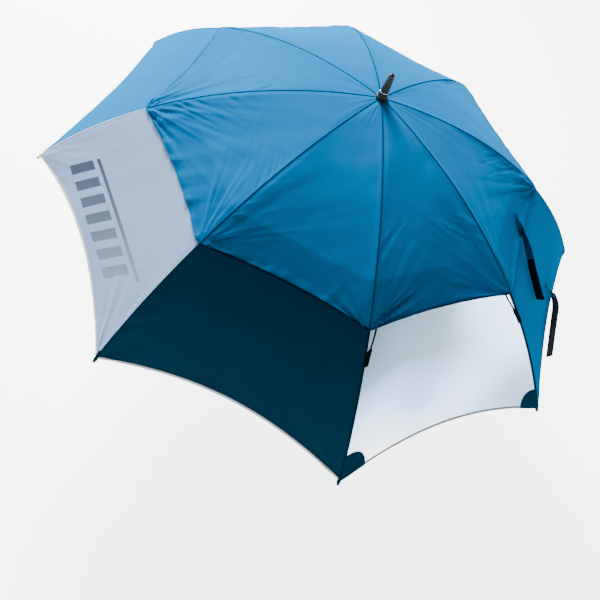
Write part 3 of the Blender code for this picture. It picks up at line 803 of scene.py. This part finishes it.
def hem_tie(rib):
    """An elastic from the upper hem's corner to a clip by the rib: over the window, or under cloth."""
    corner = rib % 2
    gore = rib - corner
    sign = 1 - 2 * corner
    lift = 0.0024 if gore == WINDOW else -0.0026
    share = np.linspace(0, 1, 40)
    along = UPPER_HEM - 0.003 + 0.078 * share
    offset = 0.0165 - 0.0115 * fade(share, 0.0, 0.95)
    half = 0.0025 + 0.0037 * fade(share, 0.50, 0.60) - 0.0016 * fade(share, 0.92, 1.0)
    rings = []
    for at, out, wide in zip(along, offset, half):
        ring = []
        for turn in np.linspace(0, 2 * math.pi, 12, endpoint=False):
            across = np.array(corner + sign * (out + wide * math.cos(turn)) / chord_at(at))
            ring.append(cloth_points(gore, False, across, np.array(at), lift + 0.0010 * math.sin(turn)))
        rings.append(ring if corner else ring[::-1])
    attach(loft(f"hem_tie_{rib + 1}", rings, LOOKS["hook"], sharp=60), rib)
    line = [frame_point(at, -RIB_DEPTH - 0.0012) for at in UPPER_HEM + np.linspace(0.050, 0.074, 9)]
    clip = tube(f"tie_clip_{rib + 1}", line, 0.0038, LOOKS["nylon"], 18)
    attach(place(clip, in_rib_plane(rib)), rib)


def in_rib_plane(rib):
    """From a rib's own plane, with X outward, to the row frame."""
    return Matrix.Rotation(rib_turn(rib), 4, "Z")


def seam(rib):
    """The raised seams where two gores meet over a rib."""
    for layer, start, end, raised in (
        ("upper", PANEL_TOP + 0.004, UPPER_HEM - 0.001, 0.0),
        ("lower", UPPER_HEM - 0.004, RIB_LENGTH - TIP_SETBACK, -LAYER_STEP),
    ):
        rings = []
        for along in np.linspace(start, end, 90):
            radius, height = on_canopy(along, raised)
            slope = slope_at(along)
            ring = []
            for turn in np.linspace(0, math.pi, 7):
                wide = 0.0019 * math.cos(turn)
                high = 0.0014 * math.sin(turn) - 0.0007
                ring.append((radius + high * math.sin(slope), wide, height + high * math.cos(slope)))
            rings.append(ring)
        # The dark seam tape paints the shade in the crease over the rib
        look = LOOKS["seam" if layer == "upper" else LOWER_SEAMS.get(rib, "seam")]
        made = loft(f"{layer}_seam_{rib + 1}", rings, look, sharp=70)
        place(made, in_rib_plane(rib))
        attach(made, rib)


def tip_pocket(rib):
    """The cloth pocket at a lower corner, which the rib's end is pushed into."""
    start = RIB_LENGTH - 0.022
    end = RIB_LENGTH + 0.007
    rings = []
    for along in np.linspace(start, end, 24):
        share = (along - start) / (end - start)
        wide = 0.0050 - 0.0008 * share
        top = -LAYER_STEP + 0.0012 + 0.0004 * math.sin(5 * share)
        low = -RIB_DEPTH - 0.0046 * fade(share, 0.0, 0.55)
        shut = 1 - 0.50 * fade(share, 0.80, 1.0)
        slope = slope_at(along)
        radius, height = on_canopy(along)
        ring = []
        for turn in np.linspace(0, 2 * math.pi, 20, endpoint=False):
            across = wide * math.cos(turn) * shut
            up = (top + low) / 2 + (top - low) / 2 * math.sin(turn) * shut
            ring.append((radius + up * math.sin(slope), across, height + up * math.cos(slope)))
        rings.append(ring)
    made = loft(f"tip_pocket_{rib + 1}", rings, LOOKS[TIP_POCKETS.get(rib, "blue_tape")], sharp=70)
    attach(place(made, in_rib_plane(rib)), rib)


def frame_point(along, raised):
    """A point in the plane of a rib."""
    radius, height = on_canopy(along, raised)
    return np.array([radius, 0.0, height])


def rib_pieces(rib):
    """A rib's rod and the small fittings on it."""
    hinge = Vector(JOINTS["rib_fold_5"]["pos_m"])
    pivot = Vector(JOINTS["stretcher_fold_5"]["pos_m"])
    start = hinge.x + 0.009
    line = [frame_point(along, -RIB_DEPTH) for along in np.linspace(start, RIB_LENGTH, 70)]
    rod = tube(f"rib_rod_{rib + 1}", line, RIB_RADIUS, LOOKS["rod"], 16)
    slope = slope_at(hinge.x)
    tongue = plate("tongue", stadium(0.0022, 0.0115), 0.0026, LOOKS["nylon"])
    place(tongue, Matrix.Translation(hinge) @ Matrix.Rotation(math.pi / 2 + slope, 4, "Y"))
    pivot_at = find_along(pivot.x)
    middle = frame_point(pivot_at, -RIB_DEPTH)
    sleeve_line = [frame_point(pivot_at + step, -RIB_DEPTH) for step in np.linspace(-0.012, 0.012, 17)]
    swell = 0.0034 - 0.0009 * np.abs(np.linspace(-1, 1, 17)) ** 6
    sleeve = tube("sleeve", sleeve_line, swell, LOOKS["nylon"], 20)
    lift = Vector(middle) - pivot
    tab = plate("tab", stadium(0.003, lift.length), 0.003, LOOKS["nylon"])
    place(tab, Matrix.Translation(pivot) @ Matrix.Rotation(math.atan2(lift.x, lift.z), 4, "Y"))
    bracket = joined(f"rib_bracket_{rib + 1}", [tongue, sleeve, tab])
    pin_line = [pivot + Vector((0, y, 0)) for y in (-0.0044, -0.0041, 0.0041, 0.0044)]
    pin = tube(f"rib_pin_{rib + 1}", pin_line, [0.0010, 0.0012, 0.0012, 0.0010], LOOKS["steel"], 16)
    for made in (rod, bracket, pin):
        place(made, in_rib_plane(rib))
        attach(made, rib)
    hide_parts(f"rib_{rib + 1}")
    tip_piece(rib)


def find_along(radius):
    """The length along the canopy at which the pivot hangs."""
    low = 0.0
    high = RIB_LENGTH
    depth = RIB_DEPTH + RIB_RADIUS + 0.005
    for _ in range(40):
        middle = (low + high) / 2
        if on_canopy(middle, -depth)[0] < radius:
            low = middle
        else:
            high = middle
    return (low + high) / 2


def tip_piece(rib):
    """The moulded cap on a rib's end."""
    profile = [(0.0, 0.0100), (0.0020, 0.0096), (0.0034, 0.0078), (0.0037, 0.0055), (0.0029, 0.0022)]
    profile += [(0.0034, -0.0020), (0.0034, -0.0100), (0.0023, -0.0100), (0.0023, 0.0), (0.0, 0.0)]
    cap = turned(f"tip_cap_{rib + 1}", profile, LOOKS["gloss"], corner=0.0008, segments=24)
    end = Vector(frame_point(RIB_LENGTH, -RIB_DEPTH))
    before = Vector(frame_point(RIB_LENGTH - 0.01, -RIB_DEPTH))
    aim = (end - before).to_track_quat("Z", "Y").to_matrix().to_4x4()
    place(cap, in_rib_plane(rib) @ Matrix.Translation(end) @ aim)
    attach(cap, rib)
    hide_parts(f"rib_tip_{rib + 1}")


def stretcher_pieces(rib):
    """A stretcher's rod, its fork at the rib and its tongue at the runner."""
    pivot = Vector(JOINTS["stretcher_fold_5"]["pos_m"])
    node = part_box("stretcher_5")
    eye = 0.0024
    end = Vector((node[0].x + eye, 0.0, node[0].z + eye))
    way = end - pivot
    long = way.length
    aim = Matrix.Translation(pivot) @ Matrix.Rotation(math.atan2(way.x, way.z), 4, "Y")
    rod = tube(f"stretcher_rod_{rib + 1}", [(0, 0, z) for z in np.linspace(0.008, long - 0.008, 24)],
               RIB_RADIUS, LOOKS["rod"], 16)
    parts = []
    for side in (-1, 1):
        cheek = plate("cheek", stadium(0.0026, 0.014), 0.0020, LOOKS["nylon"])
        parts.append(place(cheek, Matrix.Translation((0, side * 0.0028, 0))))
    neck = tube("neck", [(0, 0, z) for z in np.linspace(0.0055, 0.020, 12)],
                [0.0024, 0.0030, 0.0033] + [0.0033] * 6 + [0.0031, 0.0028, 0.0024], LOOKS["nylon"], 20)
    tongue = plate("tongue", stadium(eye, 0.016), 0.0030, LOOKS["nylon"])
    parts += [neck, place(tongue, Matrix.Translation((0, 0, long)) @ Matrix.Rotation(math.pi, 4, "Y"))]
    ends = joined(f"stretcher_ends_{rib + 1}", parts)
    for made in (rod, ends):
        place(made, in_rib_plane(rib) @ aim)
        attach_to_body(made, f"stretcher_{rib + 1}")
    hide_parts(f"stretcher_{rib + 1}")


# Straps


def strap_stations():
    """The two straps' routes on their gore: (across, share of the rib, layer, lift) at each point."""
    lift = 0.0017
    lower = -LAYER_STEP
    over = [
        (0.573, 0.549, 0.0, lift),
        (0.535, 0.570, 0.0, lift),
        (0.490, 0.593, 0.0, lift),
        (0.453, 0.612, 0.0, lift + 0.0012),
        (0.420, 0.640, 0.0, lift + 0.0006),
        (0.390, 0.664, lower, lift + 0.0016),
        (0.362, 0.692, lower, lift),
        (0.328, 0.741, lower, lift),
        (0.313, 0.780, lower, lift),
    ]
    hanging = [
        (0.526, 0.845, lower, lift),
        (0.545, 0.880, lower, lift),
        (0.560, 0.912, lower, lift + 0.0004),
        (0.562, 0.940, lower, lift + 0.0014),
        (0.540, 0.958, lower, lift + 0.0030),
        (0.475, 0.962, lower, lift + 0.0036),
        (0.400, 0.964, lower, lift + 0.0040),
        (0.322, 0.966, lower, lift + 0.0042),
        (0.248, 0.968, lower, lift + 0.0042),
    ]
    return over, hanging


def smooth_line(points, count):
    """A Catmull-Rom curve through rows of numbers."""
    points = np.asarray(points, float)
    padded = np.vstack([2 * points[0] - points[1], points, 2 * points[-1] - points[-2]])
    out = []
    for t in np.linspace(0, len(points) - 1, count):
        i = min(int(t), len(points) - 2)
        f = t - i
        a, b, c, d = padded[i:i + 4]
        out.append(0.5 * (2 * b + (c - a) * f + (2 * a - 5 * b + 4 * c - d) * f**2
                          + (3 * b - a - 3 * c + d) * f**3))
    return np.array(out)


def strap(name, stations, gore, width, node, twists, bare):
    """A ribbon over a gore that twists as it runs, with a hook-tape end. bare is where the tape starts."""
    rows = smooth_line(stations, 110)
    half = width / 2
    travel = np.linspace(0, 1, len(rows))
    twist = np.interp(travel, [at for at, _ in twists], [math.radians(turn) for _, turn in twists])
    lift = rows[:, 3] + half * 0.94 * np.abs(np.sin(twist)) * fade(travel, 0.0, 0.2)
    seats = []
    normals = []
    for (across, share, layer, _), up in zip(rows, lift):
        along = np.array(share * RIB_LENGTH)
        across = np.array(across)
        normal = gore_normal(gore, across, along, layer)
        seats.append(on_gore(gore, across, along, layer) + normal * up)
        normals.append(normal)
    seats = np.array(seats)
    normals = np.array(normals)
    way = np.gradient(seats, axis=0)
    way /= np.linalg.norm(way, axis=1, keepdims=True)
    side = np.cross(way, normals)
    side /= np.linalg.norm(side, axis=1, keepdims=True)
    out = np.cross(side, way)
    edge = [(-1.0, 0.0), (-0.98, 0.8)] + [(a, 1.0) for a in (-0.7, -0.35, 0.0, 0.35, 0.7)] + [(0.98, 0.8)]
    section = edge + [(1.0, 0.0)] + [(a, -b) for a, b in reversed(edge[1:])]
    rings = []
    for number, (point, turn, t) in enumerate(zip(seats, twist, travel)):
        flat = side[number] * math.cos(turn) + out[number] * math.sin(turn)
        thick = out[number] * math.cos(turn) - side[number] * math.sin(turn)
        curl = 0.0012 * math.sin(7 * t + 1)
        rings.append([point + flat * a * half + thick * (b * 0.0006 + curl * a * a) for a, b in section])
    cut = int(bare * len(rings))
    pieces = [loft(name, rings[:cut], LOOKS["strap"], sharp=60)]
    pieces.append(loft(f"{name}_end", rings[cut - 1:], LOOKS["hook"], sharp=60))
    for made in pieces:
        attach(made, gore, LOWER_KEEP)
    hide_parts(node)


# Shaft, ferrule, crown, runner and handle


def on_shaft(nodes, pieces):
    for node, made in zip(nodes, pieces):
        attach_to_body(made, "shaft")
        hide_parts(node)


def shaft_pieces():
    """The shaft, the crown's cap, the silver band and the ferrule."""
    tube_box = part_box("shaft_tube")
    wall = [(SHAFT_RADIUS, tube_box[1].z), (SHAFT_RADIUS, tube_box[0].z)]
    bore = [(SHAFT_RADIUS - 0.0015, tube_box[0].z), (SHAFT_RADIUS - 0.0015, tube_box[1].z)]
    shaft = turned("shaft_rod", wall + bore, LOOKS["rod"], closed=True, corner=0.0003)
    cap_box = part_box("canopy_cap")
    low = cap_box[0].z
    high = cap_box[1].z
    wide = cap_box[1].x
    profile = [(0.0092, high), (0.0104, high - 0.0012), (0.0108, high - 0.0060), (0.0121, high - 0.0098)]
    profile += [(wide - 0.0008, low + 0.0046), (wide, low + 0.0030), (wide, low)]
    profile += [(0.0073, low), (0.0073, high)]
    cap = turned("crown_cap", profile, LOOKS["nylon"], closed=True, corner=0.0007)
    ring_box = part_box("ferrule_ring")
    wide = ring_box[1].x
    band = [(wide, ring_box[1].z), (wide, ring_box[0].z), (0.0055, ring_box[0].z), (0.0055, ring_box[1].z)]
    ring = turned("silver_band", band, LOOKS["silver"], closed=True, corner=0.0007)
    tip_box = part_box("ferrule_tip")
    top = tip_box[1].z
    foot = ring_box[1].z + 0.0003
    wide = tip_box[1].x
    spike = [(0.0, top), (0.0040, top - 0.0004), (0.0058, top - 0.0018), (0.0065, top - 0.0046)]
    spike += [(0.0068, top - 0.0100), (wide * 0.97, foot + 0.0040), (wide, foot), (0.0052, foot)]
    spike += [(0.0052, tip_box[0].z), (0.0, tip_box[0].z)]
    tip = turned("ferrule_spike", spike, LOOKS["gloss"], corner=0.0009)
    on_shaft(("shaft_tube", "canopy_cap", "ferrule_ring", "ferrule_tip"), (shaft, cap, ring, tip))


def carried_over():
    """CAD nodes that are shown as they are, with softened edges and their own materials."""
    kept = {
        "crown_notch": "nylon",
        "crown_wire": "steel",
        "open_stop": "nylon",
        "lower_collar": "nylon",
        "handle_core": "nylon",
        "runner_body": "nylon",
        "runner_button": "grey",
    }
    for name, look in kept.items():
        node = frame["nodes"][name]
        node.data.materials.clear()
        node.data.materials.append(LOOKS[look])
        node.data.shade_smooth()
        node.data.set_sharp_from_angle(angle=math.radians(40))
        soften = node.modifiers.new("soften", "BEVEL")
        soften.width = 0.00025
        soften.segments = 2
        soften.angle_limit = math.radians(45)


def handle_pieces():
    """The ribbed rubber grip, the collar above it and the cap at its end."""
    grip_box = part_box("handle_grip")
    low = grip_box[0].z
    high = grip_box[1].z
    wide = grip_box[1].x
    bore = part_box("handle_core")[1].x + 0.0003
    span = high - low
    groove_pitch = 0.0058
    outside = []
    for share in np.linspace(1.0, 0.0, 150):
        belly = 0.06 * math.exp(-(((share - 0.52) / 0.22) ** 2))
        waist = 0.03 * math.exp(-(((share - 0.14) / 0.08) ** 2))
        swell = (0.94 + belly - waist) * (1 - 0.06 * fade(share, 0.965, 1.0))
        groove = 0.0
        if 0.10 < share < 0.90:
            groove = 0.00045 * max(0.0, math.cos(2 * math.pi * share * span / groove_pitch)) ** 4
        outside.append((wide * swell - groove, low + span * share))
    outside += [(bore, low), (bore, high)]
    grip = turned("grip_sleeve", outside, LOOKS["rubber"], closed=True, corner=0.0004)
    collar_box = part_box("handle_collar")
    foot = collar_box[0].z
    head = collar_box[1].z
    wide = collar_box[1].x
    bore = SHAFT_RADIUS + 0.0003
    profile = [(SHAFT_RADIUS + 0.0030, head), (SHAFT_RADIUS + 0.0046, head - 0.0012)]
    profile += [(wide, foot + 0.0018), (wide, foot), (bore, foot), (bore, head)]
    collar = turned("grip_collar", profile, LOOKS["gloss"], closed=True, corner=0.0008)
    cap_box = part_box("handle_end_cap")
    wide = cap_box[1].x
    top = low - 0.0003
    plug = SHAFT_RADIUS - 0.0018
    profile = [(0.0, cap_box[1].z), (plug, cap_box[1].z), (plug, top), (wide * 0.97, top)]
    profile += [(wide, top - 0.002), (wide * 0.99, 0.0030), (wide * 0.93, 0.0008), (wide * 0.84, 0.0)]
    profile += [(wide * 0.55, 0.0)]
    profile += [(wide * 0.52, 0.0008), (wide * 0.30, 0.0008), (0.0, 0.0008)]
    cap = turned("grip_end", profile, LOOKS["gloss"], corner=0.0008)
    on_shaft(("handle_grip", "handle_collar", "handle_end_cap"), (grip, collar, cap))


# Studio


def area_light(name, where, size, power):
    """A soft round light that faces the umbrella."""
    light = bpy.data.lights.new(name, "AREA")
    light.shape = "DISK"
    light.size = size
    light.energy = power
    made = bpy.data.objects.new(name, light)
    made.location = where
    made.rotation_euler = (Vector(where) - LIT_POINT).to_track_quat("Z", "Y").to_euler()
    bpy.context.scene.collection.objects.link(made)


LIT_POINT = Vector((0.0, 0.0, 0.8))
KEY_TURN = math.radians(108)
KEY_LIFT = math.radians(32)
KEY_FAR = 3.6
FLOOR_SIZE = 14.0
FLOOR_GLOW = 4.5
FILL = 0.22


def studio():
    """A pale floor and backdrop, a low key light from behind, and a faint fill."""
    floor_look = Look("studio_floor", (0.92, 0.92, 0.92), 0.95)
    floor_look.shader.inputs["Emission Color"].default_value = (1.0, 1.0, 1.0, 1.0)
    floor_look.shader.inputs["Emission Strength"].default_value = FLOOR_GLOW
    signs = ((-1, -1), (1, -1), (1, 1), (-1, 1))
    corners = [(x * FLOOR_SIZE, y * FLOOR_SIZE, 0.0) for x, y in signs]
    make("studio_floor", corners, [(0, 1, 2, 3)], floor_look.material)
    world = bpy.data.worlds.new("studio")
    bpy.context.scene.world = world
    world.use_nodes = True
    nodes = world.node_tree.nodes
    links = world.node_tree.links
    fill = nodes["Background"]
    fill.inputs["Color"].default_value = (0.95, 0.97, 1.0, 1.0)
    fill.inputs["Strength"].default_value = FILL
    backdrop = nodes.new("ShaderNodeBackground")
    backdrop.inputs["Strength"].default_value = FLOOR_GLOW
    seen = nodes.new("ShaderNodeLightPath")
    either = nodes.new("ShaderNodeMixShader")
    links.new(seen.outputs["Is Camera Ray"], either.inputs[0])
    links.new(fill.outputs["Background"], either.inputs[1])
    links.new(backdrop.outputs["Background"], either.inputs[2])
    links.new(either.outputs["Shader"], nodes["World Output"].inputs["Surface"])
    level = KEY_FAR * math.cos(KEY_LIFT)
    rise = KEY_FAR * math.sin(KEY_LIFT)
    key_from = Vector((level * math.cos(KEY_TURN), level * math.sin(KEY_TURN), rise))
    area_light("key", LIT_POINT + key_from, 1.4, 680.0)
    area_light("top", (-0.6, -0.4, 4.2), 3.0, 10.0)


VIEW_RIGHT = Vector((0.96345, -0.00542, 0.26783))
VIEW_UP = Vector((-0.13785, 0.84724, 0.51302))
VIEW_FROM = Vector((-0.4285, -1.1102, 0.8435))  # from the canopy's top


def camera():
    right = VIEW_RIGHT.normalized()
    back = right.cross(VIEW_UP.normalized()).normalized()
    up = back.cross(right)
    data = bpy.data.cameras.new("camera")
    data.sensor_width = 36.0
    data.lens = 37.2
    data.clip_end = 100.0
    made = bpy.data.objects.new("camera", data)
    turn = Matrix((right, up, back)).transposed().to_4x4()
    apex = Vector((0.0, 0.0, APEX_HEIGHT))
    made.matrix_world = Matrix.Translation(apex + VIEW_FROM) @ turn
    bpy.context.scene.collection.objects.link(made)
    bpy.context.scene.camera = made


camera()
studio()
for gore_number in range(RIBS):
    panel(gore_number, True)
    panel(gore_number, False)
for rib_number in range(RIBS):
    seam(rib_number)
    rib_pieces(rib_number)
    stretcher_pieces(rib_number)
    hem_tie(rib_number)
    tip_pocket(rib_number)
window_trim()
over_path, hanging_path = strap_stations()
twists = [(0.0, 5.0), (0.2, 35.0), (0.5, 66.0), (1.0, 74.0)]
strap("strap_over_hem", over_path, 3, 0.022, "strap_upper", twists, 0.62)
twists = [(0.0, 20.0), (0.15, 55.0), (0.5, 75.0), (1.0, 60.0)]
strap("strap_hanging", hanging_path, 3, 0.019, "strap_lower", twists, 0.30)
shaft_pieces()
carried_over()
handle_pieces()
